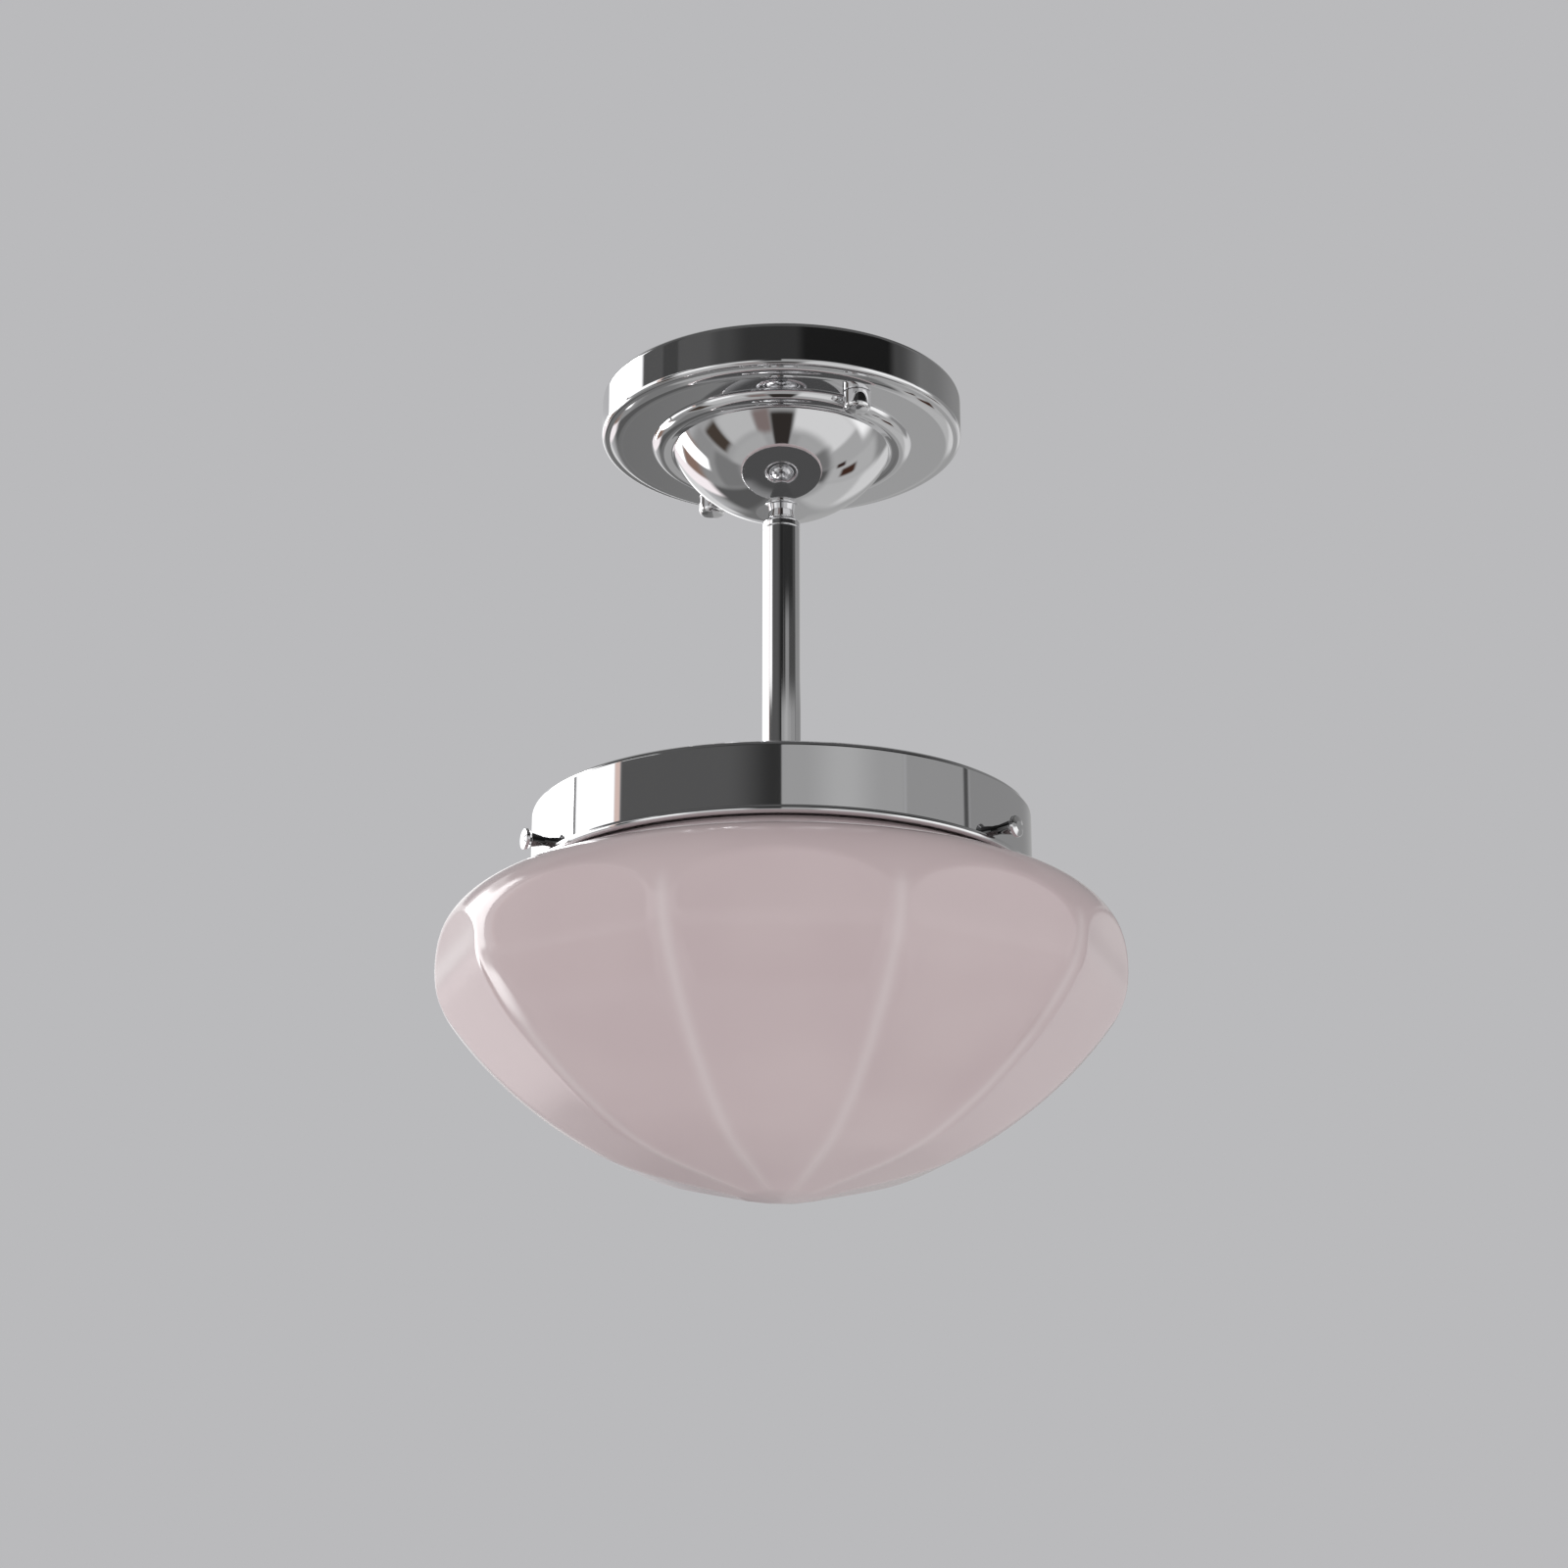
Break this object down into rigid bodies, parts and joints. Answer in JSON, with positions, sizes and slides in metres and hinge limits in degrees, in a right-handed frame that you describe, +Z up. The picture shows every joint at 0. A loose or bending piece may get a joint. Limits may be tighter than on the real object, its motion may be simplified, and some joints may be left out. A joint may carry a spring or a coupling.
{
  "type": "glass ceiling light",
  "caption": "Semi-flush ceiling light: a domed chrome canopy and short stem carry a chrome gallery that holds a faceted opal glass bowl shade round a screw-in bulb.",
  "frame": {"origin": "centre of the ceiling bar on the ceiling plane", "axes": "+Z up into the ceiling, -Y towards the front of the picture, +X to its right; the light hangs along -Z"},
  "size_m": [0.219, 0.2144, 0.2702],
  "materials": {
    "chrome": "polished chrome plate",
    "opal_glass": "glossy opal glass, greyish pink white",
    "zinc_steel": "zinc plated",
    "brass": "plain brass",
    "white_plastic": "moulded, matt",
    "holder_plastic": "moulded, half gloss",
    "porcelain": "glazed",
    "cap_metal": "nickel plated",
    "bulb_black": "vitrite, glossy",
    "bulb_white": "moulded, matt",
    "bulb_opal": "satin opal",
    "wire_brown": "wire insulation",
    "wire_blue": "wire insulation",
    "wire_green": "wire insulation, green with a yellow stripe"
  },
  "bodies": {
    "fixture": {"canopy": "chrome", "stem_top_end": "chrome", "stem": "chrome", "gallery": "chrome", "screw_bosses": "chrome", "glass_shade": "opal_glass", "mounting_bar": "zinc_steel", "bar_studs": "zinc_steel", "stud_nuts": "zinc_steel", "dome_washer": "zinc_steel", "dome_nut": "zinc_steel", "stem_bottom_end": "zinc_steel", "gallery_washer": "zinc_steel", "gallery_nut": "zinc_steel", "block_screw": "zinc_steel", "earth_screw": "brass", "earth_washer": "brass", "terminal_screws": "brass", "holder_shell": "brass", "holder_contact": "brass", "terminal_block": "white_plastic", "wire_bush": "white_plastic", "holder_cap": "holder_plastic", "holder_body": "holder_plastic", "holder_insert": "porcelain", "live_wire": "wire_brown", "neutral_wire": "wire_blue", "earth_wire": "wire_green"},
    "bulb": {"bulb_cap": "cap_metal", "bulb_contact": "cap_metal", "bulb_insulator": "bulb_black", "bulb_collar": "bulb_white", "bulb_globe": "bulb_opal"},
    "cap_nut_front": {"cap_nut_front": "chrome"},
    "cap_nut_rear": {"cap_nut_rear": "chrome"},
    "shade_screw_left": {"shade_screw_left": "chrome"},
    "shade_screw_right": {"shade_screw_right": "chrome"},
    "shade_screw_rear": {"shade_screw_rear": "chrome"}
  },
  "joints": [
    {"name": "shade_screw_left_slide", "type": "slide", "parent": "fixture", "child": "shade_screw_left", "axis": [-0.9063, -0.4226, 0], "range_m": [0, 0.0045]},
    {"name": "shade_screw_right_slide", "type": "slide", "parent": "fixture", "child": "shade_screw_right", "axis": [0.8192, -0.5736, 0], "range_m": [0, 0.0045]},
    {"name": "shade_screw_rear_slide", "type": "slide", "parent": "fixture", "child": "shade_screw_rear", "axis": [0.0872, 0.9962, 0], "range_m": [0, 0.0045]},
    {"name": "cap_nut_front_slide", "type": "slide", "parent": "fixture", "child": "cap_nut_front", "axis": [0, 0, -1], "range_m": [0, 0.006]},
    {"name": "cap_nut_rear_slide", "type": "slide", "parent": "fixture", "child": "cap_nut_rear", "axis": [0, 0, -1], "range_m": [0, 0.006]},
    {"name": "bulb_turn", "type": "hinge", "parent": "fixture", "child": "bulb", "pos_m": [0, 0, -0.2], "axis": [0, 0, -1], "range_deg": [0, 1080]}
  ]
}
